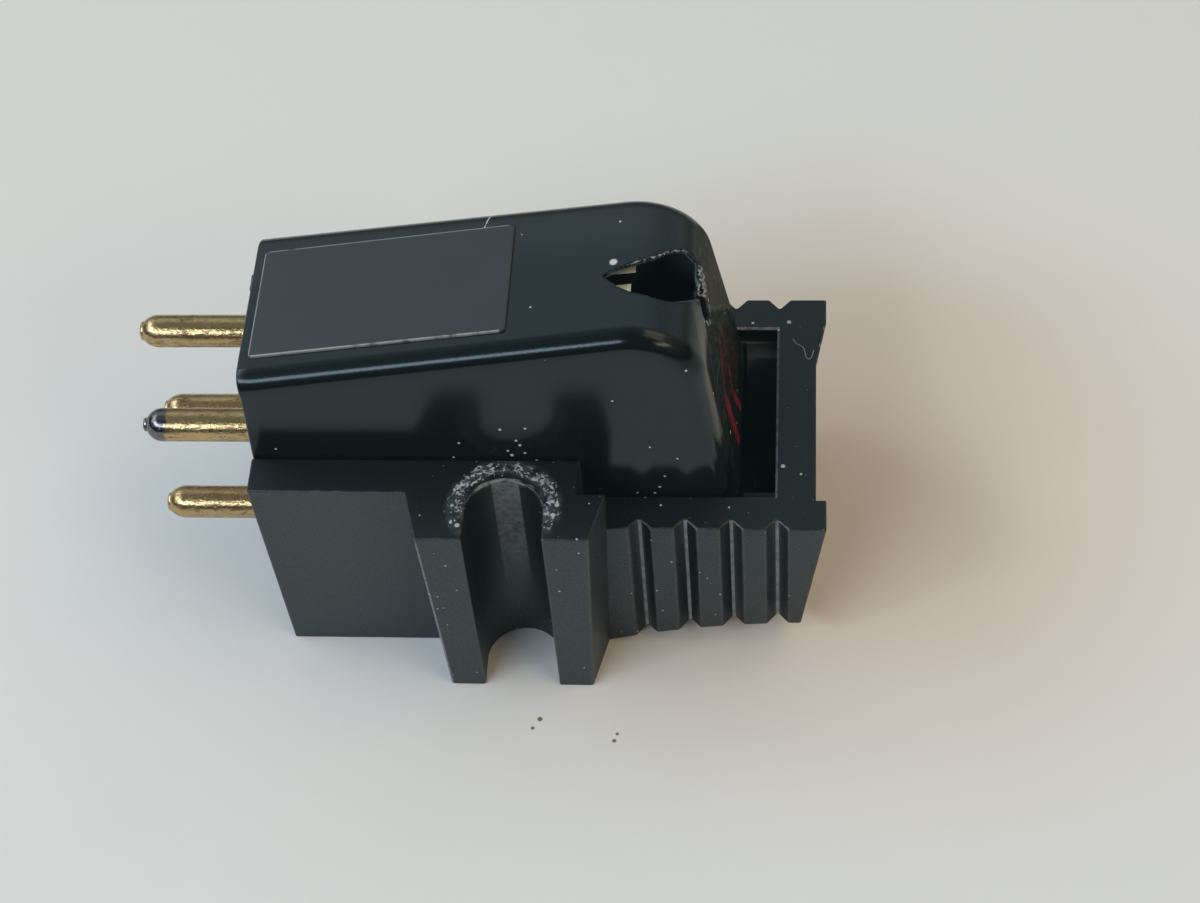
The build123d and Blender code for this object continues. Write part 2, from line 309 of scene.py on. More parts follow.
# Coils.
# Each pole runs through a moulded former wound with enamelled wire finer than a hair.
# The lower pair lies in the cradles of the base cover, the upper pair lies on them.
former = Finish("natural_nylon", Subsurface_Weight=0.15, Subsurface_Scale=0.4 * mm)
former.wear(Base_Color=former.mix(former.noise(0.6), (0.62, 0.56, 0.42, 1), (0.70, 0.64, 0.50, 1)))
former.wear(Roughness=former.blend(former.noise(0.15), 0.42, 0.58))
dress(former, *[coil + "_bobbin" for coil in coils])

wire_gauge = 0.06
wire = Finish("enamelled_copper", Metallic=0.85, Roughness=0.34, Coat_Weight=0.4)
wire_shade = wire.noise(0.3, 3, stretch=(0.3, 1, 1))
wire.wear(Base_Color=wire.mix(wire_shade, (0.42, 0.13, 0.045, 1), (0.62, 0.25, 0.09, 1)))
wire.bump(wire.maths("SINE", wire.every(wire.x, 2 * pi / wire_gauge)), 0.012)
dress(wire, *[coil + "_winding" for coil in coils])

# Base cover and terminal board.
# Two plates of dark pressed laminate close the body below and behind.
# Both are pushed in against the body's walls; the board carries the four pins.
laminate = Finish("pressed_laminate", Specular_IOR_Level=0.4)
laminate_fleck = laminate.noise(0.12, 4, stretch=(1, 3, 1))
laminate_cloud = laminate.noise(1.6, 3)
laminate.wear(Base_Color=laminate.mix(laminate_cloud, (0.020, 0.018, 0.015, 1), (0.034, 0.028, 0.022, 1)))
laminate.wear(Roughness=laminate.blend(laminate_fleck, 0.42, 0.62))
laminate.bump(laminate_fleck, 0.006)
dress(laminate, "base_cover", "terminal_board")


# Terminal pins.
# Four turned brass pins, gilt once and now tarnished in streaks, with a blunt nose that ends in a small cut button.
# Each stands with its shoulder on the board; the tip of the near upper one is grey from old solder.
pin_radius = 0.625 * mm
button_radius = 0.36 * mm
soldered_button_radius = 0.26 * mm
button_length = 0.16 * mm
neck_flare = 0.06 * mm
nose_length = 0.54 * mm
shoulder_x = -9.42 * mm
shank_radius = 0.4 * mm
shank_chamfer = 0.05 * mm
flutter = 0.012
flutter_lobes = 3
flutter_twist = 0.9 / mm
solder_end = -12.75


def turned_pin(name, button):
    """Lathe form about X: a cut button with a flared neck, a nose that is an arc running into the barrel, the
    straight barrel with a faint flutter, then the thin shank."""
    low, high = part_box(name)
    axis_y, axis_z = (low.y + high.y) / 2, (low.z + high.z) / 2
    rise = pin_radius - button - neck_flare
    arc_radius = (nose_length ** 2 + rise ** 2) / (2 * rise)
    swing = np.linspace(np.arcsin(nose_length / arc_radius), 0, 16)
    nose_end = low.x + button_length + nose_length
    nose_r = pin_radius - arc_radius * (1 - np.cos(swing))
    nose_x = nose_end - arc_radius * np.sin(swing)
    button_r = np.array([0, 0.7, 0.86, 0.96, 1.0, 1.03]) * button
    button_x = low.x + np.array([0, 0, 0.01, 0.035, 0.07, 0.12]) * mm
    barrel_x = np.linspace(nose_end, shoulder_x, 40)[1:]
    barrel_r = np.full(barrel_x.shape, pin_radius)
    shank_x = np.array([shoulder_x, high.x - shank_chamfer, high.x, high.x])
    shank_r = np.array([shank_radius, shank_radius, shank_radius - shank_chamfer, 0])
    along = np.concatenate([button_x, nose_x, barrel_x, shank_x])[:, None]
    radius = np.concatenate([button_r, nose_r, barrel_r, shank_r])[:, None]
    turn = np.linspace(0, 2 * pi, 72, endpoint=False)
    r = radius * (1 - flutter * (1 + np.sin(flutter_lobes * turn + flutter_twist * along)) / 2)
    x = np.broadcast_to(along, r.shape)
    return tube(name + "_turned", np.stack([x, axis_y + r * np.cos(turn), axis_z + r * np.sin(turn)], -1))


def brass_finish(name, soldered):
    """Tarnished brass: lengthwise streaks and pits of brown on yellow, and a grey tip where it was soldered."""
    brass = Finish(name, Metallic=1.0)
    streak = brass.noise(0.11, 4, stretch=(3.5, 1, 1))
    pit = brass.noise(0.07, 3, stretch=(1.6, 1, 1), shift=(300, 100, 200))
    cloud = brass.noise(0.9, 2)
    tarnish = brass.plus(brass.band(streak, 0.48, 0.74), brass.band(pit, 0.58, 0.72))
    tarnish = brass.maths("MINIMUM", brass.every(tarnish, brass.band(cloud, 0.25, 0.7)), 1.0)
    tone = brass.mix(cloud, (0.60, 0.415, 0.19, 1), (0.45, 0.335, 0.19, 1))
    colour = brass.mix(tarnish, tone, (0.15, 0.095, 0.050, 1))
    rough = brass.blend(tarnish, 0.22, 0.50)
    if soldered:
        ragged = brass.plus(brass.x, brass.every(brass.noise(0.4), 0.5))
        tip = brass.band(ragged, solder_end + 0.35, solder_end + 0.2)
        colour = brass.mix(tip, colour, brass.mix(streak, (0.10, 0.092, 0.094, 1), (0.23, 0.22, 0.23, 1)))
        rough = brass.blend(tip, rough, 0.08)
    brass.wear(Base_Color=colour, Roughness=rough)
    brass.bump(streak, 0.010)
    brass.bump(pit, 0.010)
    return brass


brass = brass_finish("tarnished_brass", False)
soldered_brass = brass_finish("tarnished_brass_soldered", True)
for side in sides:
    for duty in ("signal", "return"):
        soldered = (side, duty) == ("right", "signal")
        pin = turned_pin(side + "_" + duty + "_pin", soldered_button_radius if soldered else button_radius)
        fix(pin, soldered_brass if soldered else brass)
        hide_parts(side + "_" + duty + "_pin")

# Body shell.
# Hollow wedge of glossy black moulding: a flat face for the label, a round nose and a leaning front.
# It is pushed down into the bracket; the hole worn in its nose is where the stylus plugged in.
half_width = 3.92 * mm
body_rear = 9.42 * mm
body_floor = 2.0 * mm
ledge_height = 9.56 * mm
draft = radians(4.6)
face_rear_height = 13.36 * mm
slope = radians(9.15)
nose_start = 4.2 * mm
nose_radius = 2.65 * mm
lean = radians(9.4)
chin_height = 6.8 * mm
chin_setback = 0.95 * mm
edge_round = 0.8 * mm
body_wall = 0.7 * mm
rear_round = 0.1 * mm
lip_wall = 0.16 * mm
lip_reach = 0.9 * mm
rim_fade = 0.08 * mm
rim_dip = 0.03 * mm
rim_dip_reach = 0.05 * mm
foot_x = np.array([-9.42, 3.0, 5.0, 6.4, 6.75]) * mm
window_run = np.linspace(12.85 * mm, 18.75 * mm, 86)
window_sides = (-0.70, 0.80)

face_normal = np.array([-sin(slope), cos(slope)])
front_normal = np.array([cos(lean), sin(lean)])
nose_top = np.array([nose_start, face_rear_height + (nose_start + body_rear) * tan(slope)])
nose_centre = nose_top - nose_radius * face_normal
front_top = nose_centre + nose_radius * front_normal
face_run = (nose_start + body_rear) / cos(slope)
nose_run = face_run + nose_radius * (pi / 2 + slope - lean)
front_run = nose_run + (front_top[1] - chin_height) / cos(lean)
chin_drop = chin_height - body_floor
chin = front_top + (front_run - nose_run) * np.array([sin(lean), -cos(lean)])
spine_run = front_run + hypot(chin_setback, chin_drop)


def spine(run):
    """Side view line at a distance run from the rear: straight up the label face, an arc round the nose, straight
    down the leaning front and back in under the chin. Gives its X and Z and its outward normal's."""
    angle = pi / 2 + slope - np.clip(run - face_run, 0, nose_run - face_run) / nose_radius
    nx, nz = np.cos(angle), np.sin(angle)
    before = np.minimum(run - face_run, 0)
    after = np.clip(run - nose_run, 0, front_run - nose_run)
    below = np.maximum(run - front_run, 0) / (spine_run - front_run)
    x = nose_centre[0] + nose_radius * nx + before * cos(slope) + after * sin(lean) - below * chin_setback
    z = nose_centre[1] + nose_radius * nz + before * sin(slope) - after * cos(lean) - below * chin_drop
    under = run > front_run
    length = hypot(chin_drop, chin_setback)
    return x, z, np.where(under, chin_drop / length, nx), np.where(under, -chin_setback / length, nz)


def shell_skin(run, across):
    """Outside of the shell at distance run along the spine. Across goes 0 to 1 over the flat, 1 to 2 round the
    rolled edge, 2 to 3 down the drafted wall and 3 to 4 down its straight foot, negative on the right.
    Gives points and outward normals."""
    x, z, nx, nz = spine(run)
    side, reach = np.sign(across), np.abs(across)
    inner_x, inner_z = x - edge_round * nx, z - edge_round * nz
    tilt = np.where(inner_z > ledge_height, draft, 0.0)
    inner_y = half_width - np.maximum(inner_z - ledge_height, 0) * tan(draft) - edge_round / np.cos(tilt)
    roll = np.clip(reach - 1, 0, 1)
    arc = np.arccos(nz * np.sin(tilt))
    from_top, from_side = np.sin((1 - roll) * arc) / np.sin(arc), np.sin(roll * arc) / np.sin(arc)
    dx = from_top * nx
    dy = from_side * np.cos(tilt)
    dz = from_top * nz + from_side * np.sin(tilt)
    px, pz = inner_x + edge_round * dx, inner_z + edge_round * dz
    py = np.minimum(reach, 1) * inner_y + edge_round * dy
    knots = [0, face_run, nose_run, front_run, spine_run]
    foot = np.interp(run, knots, foot_x)
    drop = np.maximum(pz - body_floor, 0)
    upper = np.maximum(pz - ledge_height, 0) / np.maximum(drop, 1e-9)
    down = np.clip(reach - 2, 0, 1) * upper + np.clip(reach - 3, 0, 1) * (1 - upper)
    wall = reach > 2
    px = np.where(wall, px + (foot - px) * down, px)
    pz = np.where(wall, pz - drop * down, pz)
    py = np.where(wall, half_width - np.maximum(pz - ledge_height, 0) * tan(draft), py)
    low_wall = (reach > 3) | (wall & (pz <= ledge_height))
    dy = np.where(low_wall, 1.0, dy)
    dz = np.where(low_wall, 0.0, dz)
    points = np.stack([px, side * py, pz], -1)
    return points, np.stack([dx * ~low_wall, side * dy, dz], -1)


hole_outline = np.array([
    (3.56, -0.35), (3.78, -0.58), (4.12, -0.92), (4.60, -1.20), (5.11, -1.30), (5.39, -1.36), (5.85, -1.38),
    (6.11, -1.26), (6.46, -0.98), (6.72, -0.68), (6.92, -0.40), (6.98, -0.10), (6.99, 0.24), (6.93, 0.47),
    (6.89, 0.72), (6.90, 1.02), (6.86, 1.22), (6.73, 1.29), (6.58, 1.27), (6.39, 1.30), (6.21, 1.18),
    (6.03, 1.04), (5.77, 0.84), (5.50, 0.60), (5.41, 0.50), (5.09, 0.38), (4.96, 0.25), (4.73, 0.17),
    (4.31, 0.00), (3.90, -0.16),
]) * mm
hole_centre = np.array([15.9, -0.4]) * mm
crack_line = np.array([(17.10, 0.08), (17.52, -0.70)]) * mm
crack_half = 0.30 * mm
crack_depth = 0.20 * mm


def crack_share(run, y):
    """How far into the crack that runs on from the hole's front corner: 1 within half its width of its middle line,
    falling smoothly to 0 at its edge."""
    start, way = crack_line[0], crack_line[1] - crack_line[0]
    along = np.clip(((run - start[0]) * way[0] + (y - start[1]) * way[1]) / (way @ way), 0, 1)
    away = np.hypot(run - start[0] - along * way[0], y - start[1] - along * way[1])
    share = np.clip((crack_half - away) / (0.5 * crack_half), 0, 1)
    return share * share * (3 - 2 * share)


def run_at(x):
    """Distance along the spine of a point of the label face or nose with that X."""
    turned = pi / 2 + slope - np.arccos(np.clip((x - nose_centre[0]) / nose_radius, -1, 1))
    return np.where(x < nose_start, (x + body_rear) / cos(slope), face_run + nose_radius * turned)


def hole_edge(angle):
    """Run and Y of the worn hole's edge at an angle about its middle: the measured outline joined by straight
    lines, roughened by a seeded wave that is coarser on the far side."""
    corners = np.stack([run_at(hole_outline[:, 0]), hole_outline[:, 1]], -1)
    following = np.roll(corners, -1, 0)
    step = np.linspace(0, 1, 40, endpoint=False)[:, None, None]
    line = (corners + (following - corners) * step).transpose(1, 0, 2).reshape(-1, 2) - hole_centre
    at = np.arctan2(line[:, 1], line[:, 0])
    order = np.argsort(at)
    radius = np.interp(angle, at[order], np.hypot(*line.T)[order], period=2 * pi)
    draw = np.random.default_rng(11)
    waves, phases = np.arange(14, 110, 4), draw.uniform(0, 2 * pi, 24)
    rough = (np.sin(angle[:, None] * waves + phases) / np.sqrt(waves)).sum(1)
    far = 0.5 + 0.5 * np.tanh(np.sin(angle) * 3)
    radius = radius + rough * (0.014 + 0.026 * far) * mm
    return hole_centre + np.stack([radius * np.cos(angle), radius * np.sin(angle)], -1)


def shell_mesh():
    """The skin on a grid with a window round the hole, a ring of quads from the window's edge to the worn edge,
    and the same skin again one wall further in, thinned to a lip round the hole, joined along every free edge."""
    rear_turn = np.linspace(0, pi / 2, 5)
    rear_run = rear_round * (1 - np.cos(rear_turn))
    run = np.concatenate([
        rear_run, np.linspace(rear_round, window_run[0], 30)[1:-1], window_run,
        np.linspace(window_run[-1], front_run, 16)[1:], np.linspace(front_run, spine_run, 5)[1:],
    ])
    inset = np.zeros(len(run))
    inset[:len(rear_turn)] = rear_round * (1 - np.sin(rear_turn))
    flat = np.linspace(-1, 1, 77)
    rolled = np.linspace(1, 2, 13)[1:]
    walls = np.concatenate([np.linspace(2, 3, 9)[1:], np.linspace(3, 4, 5)[1:]])
    beyond = np.concatenate([rolled, walls])
    across = np.concatenate([-beyond[::-1], flat, beyond])
    points, normals = shell_skin(run[:, None], across[None, :])
    flat_half = points[:, across == -1, 1]
    cracked = crack_share(run[:, None], points[..., 1]) * (np.abs(across) <= 1)
    points = points - normals * (inset[:, None] + crack_depth * cracked)[..., None]
    rows, columns = points.shape[:2]
    index = np.arange(rows * columns).reshape(rows, columns)
    first = int(np.argmin(np.abs(run - window_run[0])))
    last = first + len(window_run) - 1
    near = int(np.argmin(np.abs(across - window_sides[0])))
    far = int(np.argmin(np.abs(across - window_sides[1])))
    faces = grid_faces(rows, columns)
    row, column = faces[:, 0] // columns, faces[:, 0] % columns
    cut = (row >= first) & (row < last) & (column >= near) & (column < far)
    edge = np.concatenate([
        index[first:last, near], index[last, near:far], index[last:first:-1, far], index[first, far:near:-1],
    ])
    edge_run, edge_y = run[edge // columns], points.reshape(-1, 3)[edge, 1]
    angle = np.arctan2(edge_y - hole_centre[1], edge_run - hole_centre[0])
    worn = hole_edge(angle)
    outer = np.stack([edge_run, edge_y], -1)
    share = np.linspace(0, 1, 16)[:-1, None] ** 1.7
    ring = worn + (outer - worn) * share[..., None]
    ring_across = -ring[..., 1] / np.interp(ring[..., 0], run, flat_half[:, 0])
    ring_points, ring_normals = shell_skin(ring[..., 0], ring_across)
    ring_cracked = crack_share(ring[..., 0], ring[..., 1])
    dip = rim_dip * np.exp(-share * np.hypot(*(outer - worn).T) / rim_dip_reach)
    ring_points = ring_points - ring_normals * (dip + crack_depth * ring_cracked)[..., None]
    ring_index = rows * columns + np.arange(ring_points[..., 0].size).reshape(ring_points.shape[:2])
    loops = np.concatenate([ring_index, edge[None]])
    here, ahead = loops, np.roll(loops, -1, 1)
    ring_faces = np.stack([here[:-1], here[1:], ahead[1:], ahead[:-1]], -1).reshape(-1, 4)
    skin = np.concatenate([points.reshape(-1, 3), ring_points.reshape(-1, 3)])
    outward = np.concatenate([normals.reshape(-1, 3), ring_normals.reshape(-1, 3)])
    outward = outward / np.linalg.norm(outward, axis=1, keepdims=True)
    outside = np.concatenate([faces[~cut], ring_faces])
    count = len(skin)
    edges = np.stack([outside, np.roll(outside, -1, 1)], -1).reshape(-1, 2)
    keys = np.sort(edges, 1)
    _, which, times = np.unique(keys[:, 0] * count + keys[:, 1], return_inverse=True, return_counts=True)
    free = edges[times[which] == 1]
    rim = np.stack([free[:, 1], free[:, 0], free[:, 0] + count, free[:, 1] + count], -1)
    everything = np.concatenate([outside, outside[:, ::-1] + count, rim])
    reach = np.hypot(*(ring - worn).transpose(2, 0, 1)).ravel()
    rim_share = np.concatenate([np.zeros(rows * columns), np.exp(-reach / rim_fade), np.zeros(count)])
    thicken = np.clip((reach - lip_reach) / lip_reach, 0, 1)
    wall = np.concatenate([np.full(rows * columns, body_wall), lip_wall + (body_wall - lip_wall) * thicken])
    inner = skin - wall[:, None] * outward
    crack_shade = np.tile(np.concatenate([cracked.ravel(), ring_cracked.ravel()]), 2)
    values = {"rim": rim_share, "inside": np.repeat([0.0, 1.0], count), "crack_shade": crack_shade}
    points = np.concatenate([skin, inner])
    used = np.unique(everything)
    renumber = np.zeros(len(points), int)
    renumber[used] = np.arange(len(used))
    return points[used], renumber[everything], {key: value[used] for key, value in values.items()}


body = closed_mesh("body_moulding", *shell_mesh())

gloss = Finish("glossy_black_moulding", Specular_Tint=(0.80, 0.96, 1.06, 1))
gloss_fine = gloss.noise(0.07, 3)
to_front, to_side, to_top = gloss.facing()
gloss_specks = gloss.either(
    gloss.specks(0.5, 0.045, 0.22), gloss.specks(1.7, 0.08, 0.14),
    gloss.spots(
        (3.93, 0.23, 15.49, 0.17), (5.4, -3.92, 7.9, 0.06), (6.1, -3.92, 9.6, 0.05), (7.97, -2.26, 9.04, 0.09),
        (0.37, -3.84, 10.51, 0.06), (0.49, -3.86, 10.27, 0.07), (0.03, -3.88, 9.97, 0.06), (0.64, -3.89, 9.86, 0.06),
        (0.16, -3.90, 9.74, 0.08), (-0.16, -3.80, 11.09, 0.07), (0.74, -3.79, 11.15, 0.06),
        (-1.7, -3.85, 10.37, 0.06), (5.14, -3.86, 10.2, 0.05), (3.92, -3.67, 12.6, 0.05),
    ),
)

# Brown dust, caked on the front below the nose where fingers don't reach; its near edge follows the rounding.
dust_top = (13.6, 13.1)
dust_tilt = 1.17
ragged = gloss.every(gloss.minus(gloss.noise(0.3, 5), 0.5), 1.2)
below_nose = gloss.plus(gloss.z, gloss.every(gloss.y, dust_tilt))
below_nose = gloss.band(gloss.plus(below_nose, ragged), *dust_top)
near_limit = gloss.blend(gloss.band(gloss.z, 9.9, 13.4), -3.3, -1.85)
nose_limit = gloss.maths("MAXIMUM", gloss.every(gloss.minus(gloss.z, 13.2), 1.2), 0.0)
from_edge = gloss.minus(gloss.y, gloss.plus(nose_limit, near_limit))
from_edge = gloss.band(gloss.plus(from_edge, gloss.every(ragged, 0.3)), -0.08, 0.10)
forward = gloss.band(to_front, 0.66, 0.80)
caked = gloss.every(forward, below_nose, from_edge, gloss.band(gloss.z, 6.9, 7.9))
dust_grain = gloss.every(
    gloss.patches(0.17, 4, 0.50, 0.58, stretch=(1, 1.8, 1)),
    gloss.blend(gloss.patches(0.6, 3, 0.36, 0.62, stretch=(1, 1.8, 1)), 0.25, 1.0),
    gloss.blend(gloss.band(gloss.z, 9.0, 12.5), 0.5, 1.0),
)
dust_colour = gloss.mix(dust_grain, (0.0030, 0.0047, 0.0036, 1), (0.044, 0.052, 0.041, 1))

# Pale bruise on the broken edge of the hole: a thin broken line on its far side, chips on its front side and round
# the end of the crack. The rim value falls off by e in every rim_fade, so its logarithm gives the distance.
rim, inside, crack_shade = [
    gloss.add("Attribute", {}, attribute_name=key).outputs["Fac"] for key in ("rim", "inside", "crack_shade")
]
crumbs = gloss.noise(0.10, 4)
lumps = gloss.noise(0.16, 3, shift=(500, 100, 300))
reach = gloss.every(gloss.maths("LOGARITHM", gloss.maths("MAXIMUM", rim, 1e-9), 2.718), -rim_fade / mm)
far_side = gloss.every(gloss.within(gloss.x, 4.6, 6.35, 0.15), gloss.band(gloss.y, 0, 0.2))
thin_rim = gloss.band(gloss.plus(rim, gloss.every(crumbs, 0.9)), 1.0, 1.15)
thin_rim = gloss.every(thin_rim, gloss.band(lumps, 0.42, 0.54))
front_side = gloss.every(gloss.band(gloss.x, 6.80, 6.86), gloss.within(gloss.y, 0.10, 1.10, 0.1))
chipped = gloss.plus(reach, gloss.every(gloss.minus(lumps, 0.5), 1.2))
chipped = gloss.every(gloss.band(chipped, 0.42, 0.30), gloss.band(crumbs, 0.40, 0.56), front_side)
crack_chips = gloss.spots(
    (7.12, -1.08, 13.92, 0.12), (7.22, -0.86, 13.5, 0.14), (7.28, -0.55, 13.2, 0.12), (7.22, 0.18, 13.55, 0.10),
    (7.25, 0.04, 13.35, 0.12), (7.27, -0.10, 13.25, 0.10),
)
crack_chips = gloss.every(crack_chips, gloss.band(crumbs, 0.36, 0.5))
bruise = gloss.either(gloss.every(thin_rim, far_side), chipped, crack_chips, gloss.every(thin_rim, 0.10))
inside = gloss.band(inside, 0.4, 0.9)
# The crack's near-black, dull and barely reflecting, is painted shade: the slit is only a shallow dip, and this
# stands in for the dark inside an open gap.
crack_shade = gloss.band(crack_shade, 0.05, 0.3)

# Red strokes, as of a wax pencil, and a red haze down the front; a scratch beside the label.
wax = gloss.every(gloss.patches(0.20, 4, 0.30, 0.54), forward)
thin_wax = gloss.every(gloss.patches(0.13, 4, 0.46, 0.60), forward)
haze = gloss.every(gloss.patches(0.08, 3, 0.50, 0.64), forward, 0.35)
red_strokes = (
    ([(-1.47, 9.9), (-1.48, 8.93), (-1.42, 7.62)], 0.40, wax),
    ([(-0.14, 11.1), (-0.78, 10.77), (-1.45, 10.3)], 0.26, thin_wax),
    ([(0.15, 9.45), (-0.25, 9.1)], 0.36, thin_wax),
    ([(-0.16, 8.5), (0.25, 7.4)], 0.30, wax),
    ([(0.0, 10.8), (1.5, 8.9)], 1.2, haze),
)
red = gloss.either(*[gloss.stroke(gloss.y, gloss.z, *stroke) for stroke in red_strokes])
scratch = [(-0.88, 2.52), (-0.68, 3.25)]
scratch = gloss.stroke(gloss.x, gloss.y, scratch, 0.03, gloss.patches(0.2, 2, 0.3, 0.5))

# Grey films, thin over the far half of the top and dusty on the nose, and a painted highlight: a pale line down the
# rounded near front edge.
far_film = gloss.every(gloss.band(gloss.y, 0.4, 1.9), gloss.band(to_top, 0.5, 0.8))
edge_highlight_line = [
    (-0.95, 14.38), (-1.52, 14.22), (-2.06, 14.03), (-2.70, 13.70), (-3.06, 13.03), (-3.16, 12.04), (-3.38, 10.5),
]
painted_edge_highlight = gloss.stroke(gloss.y, gloss.z, edge_highlight_line, 0.30, gloss.blend(gloss.noise(0.25, 4), 0.6, 1.0))
painted_edge_highlight = gloss.every(painted_edge_highlight, gloss.band(to_front, 0.35, 0.6))
nose_film = gloss.every(
    gloss.band(to_front, 0.74, 0.88), gloss.minus(1.0, below_nose), gloss.band(gloss.y, -1.0, -0.6),
)
gloss_black = gloss.mix(gloss.noise(2.2, 3), (0.0024, 0.0052, 0.0060, 1), (0.0038, 0.0070, 0.0079, 1))
gloss.wear(Base_Color=gloss.layers(
    gloss_black,
    (far_film, (0.0120, 0.0155, 0.0165, 1)),
    # Painted highlight down the near front edge.
    (painted_edge_highlight, (0.056, 0.060, 0.052, 1)),
    (nose_film, gloss.mix(dust_grain, (0.048, 0.050, 0.050, 1), (0.080, 0.080, 0.078, 1))),
    (caked, dust_colour),
    (red, (0.20, 0.012, 0.030, 1)),
    (inside, (0.10, 0.13, 0.135, 1)),
    # Painted shade in the crack.
    (crack_shade, (0.003, 0.003, 0.004, 1)),
    (bruise, gloss.mix(crumbs, (0.12, 0.15, 0.16, 1), (0.50, 0.55, 0.57, 1))),
    (gloss.either(gloss_specks, scratch), (0.60, 0.61, 0.60, 1)),
))

# Polish: duller on the rounding of the nose and on the handled near wall, weak on the near fillet.
midway = gloss.band(gloss.maths("ABSOLUTE", to_side), 0.40, 0.20)
rounding = gloss.every(gloss.band(to_front, 0.10, 0.45), midway)
near_wall = gloss.band(to_side, -0.80, -0.97)
gloss_rough = gloss.blend(gloss.either(gloss.every(rounding, 0.75), gloss.every(near_wall, 0.4)), 0.13, 0.22)
gloss_rough = gloss.plus(gloss_rough, gloss.every(gloss_fine, 0.05))
marks = gloss.either(gloss.every(caked, 0.7), nose_film, red, bruise, crack_shade, gloss_specks)
gloss.wear(Roughness=gloss.blend(marks, gloss_rough, 0.75))
near_fillet = gloss.every(gloss.within(to_side, -0.85, -0.35, 0.1), gloss.band(to_top, 0.2, 0.4))
gloss_level = gloss.blend(gloss.either(gloss.every(near_fillet, 0.85), gloss.every(near_wall, 0.2)), 0.5, 0.24)
low_wall = gloss.every(near_wall, gloss.band(gloss.z, 11.8, 10.4), gloss.band(gloss.x, 3.4, 2.6))
gloss_level = gloss.blend(low_wall, gloss_level, 0.24)
nose_haze = gloss.every(rounding, gloss.blend(gloss.patches(0.13, 4, 0.35, 0.65), 0.75, 1.0))
gloss_level = gloss.blend(nose_haze, gloss_level, 0.26)
gloss.wear(Specular_IOR_Level=gloss.blend(gloss.either(caked, crack_shade, nose_film), gloss_level, 0.06))
gloss.bump(gloss.noise(0.35, 2), 0.0015)
gloss.bump(gloss_fine, 0.0012)
raised = gloss.either(gloss.every(marks, gloss.minus(1.0, nose_film)), gloss.every(nose_film, dust_grain))
gloss.bump(raised, 0.01)
fix(body, gloss)
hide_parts("body_shell")


def plate_mesh(outline, share, height):
    """Closed disc: rings of the outline shrunk by each share, lifted to the height that goes with it.
    Outline and rings are plane points; gives points along the two plane axes and up."""
    flat = share[:, None, None] * outline
    points = np.concatenate([flat, np.broadcast_to(height[:, None, None], flat.shape[:2] + (1,))], -1)
    return points.reshape(-1, 3), grid_faces(len(share), len(outline), True)


stub_half_width = 0.45 * mm
stub_half_height = 0.25 * mm
stub_y = 1.5 * mm
stub_z = 12.76 * mm
stub_grain = 0.02 * mm


def gate_stub():
    """Broken-off moulding gate on the rear edge: a low pad with an outline between a box and an oval, its height
    roughened by crossed waves."""
    turn = np.linspace(0, 2 * pi, 60, endpoint=False)
    c, s = np.cos(turn), np.sin(turn)
    wide, tall = np.sign(c) * np.abs(c) ** 0.5, np.sign(s) * np.abs(s) ** 0.5
    outline = np.stack([stub_half_width * wide, stub_half_height * tall], -1)
    share = np.array([0, 0.3, 0.6, 0.85, 0.95, 1, 1, 0])
    height = np.array([0.13, 0.13, 0.13, 0.12, 0.10, 0.06, -0.02, -0.02]) * mm
    points, faces = plate_mesh(outline, share, height)
    y, z, up = points.T
    waves = np.sin(9 / mm * y + 2) * np.sin(13 / mm * z + 1)
    up = np.where(up > 0.09 * mm, up + stub_grain * waves, up)
    points = np.stack([-body_rear - up, stub_y + y, stub_z + z], -1)
    return closed_mesh("gate_stub", points, faces[:, ::-1])


fix(gate_stub(), gloss)

# Label.
# Bare satin foil plate, printed dark grey with a bright cut edge.
# It is stuck on the body's sloping face and carries nothing.
label_length = 9.42 * mm
label_width = 4.96 * mm
label_thickness = 0.1 * mm
label_margin = 0.4 * mm
label_squareness = 60


def label_plate():
    """Rounded rectangle with softly turned-down edges, laid on the slope."""
    turn = np.linspace(0, 2 * pi, 240, endpoint=False) + 0.01
    c, s = np.cos(turn), np.sin(turn)
    radius = (np.abs(c) ** label_squareness + np.abs(s) ** label_squareness) ** (-1 / label_squareness)
    outline = np.stack([radius * c * label_length / 2, radius * s * label_width / 2], -1)
    edge = np.array([0, 0.5, 0.9, 0.97, 0.985, 0.992, 0.997, 1.0, 1.0, 0.9, 0])
    lift = np.array([1, 1, 1, 1, 1, 0.97, 0.85, 0.55, 0, 0, 0]) * label_thickness
    points, faces = plate_mesh(outline, edge, lift)
    along = label_margin + label_length / 2 + points[:, 0]
    x = -body_rear + along * cos(slope) - points[:, 2] * sin(slope)
    z = face_rear_height + along * sin(slope) + points[:, 2] * cos(slope)
    return closed_mesh("label_plate", np.stack([x, points[:, 1], z], -1), faces)


plate = label_plate()
foil = Finish("dark_satin_foil", Metallic=0.25)
foil_grain = foil.noise(0.06, 3)
foil_middle = face_rear_height * sin(slope) - body_rear * cos(slope) + label_margin + label_length / 2
foil_along = foil.plus(foil.every(foil.x, cos(slope)), foil.every(foil.z, sin(slope)))
foil_along = foil.maths("ABSOLUTE", foil.minus(foil_along, foil_middle / mm))
foil_end = foil.minus(label_length / 2 / mm, foil_along)
foil_side = foil.minus(label_width / 2 / mm, foil.maths("ABSOLUTE", foil.y))
foil_edge = foil.every(
    foil.band(foil.maths("MINIMUM", foil_end, foil_side), 0.075, 0.035),
    foil.patches(0.5, 4, 0.24, 0.46), foil.band(foil.x, 0.10, 0.0),
)
foil.wear(Base_Color=foil.layers(
    foil.mix(foil.noise(1.8, 3), (0.034, 0.044, 0.053, 1), (0.041, 0.052, 0.062, 1)),
    (foil_edge, (0.30, 0.32, 0.32, 1)),
    (foil.specks(0.8, 0.05, 0.12), (0.5, 0.5, 0.48, 1)),
))
foil.wear(Roughness=foil.blend(foil_grain, 0.40, 0.52))
foil.bump(foil_grain, 0.002)
fix(plate, foil)
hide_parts("label")


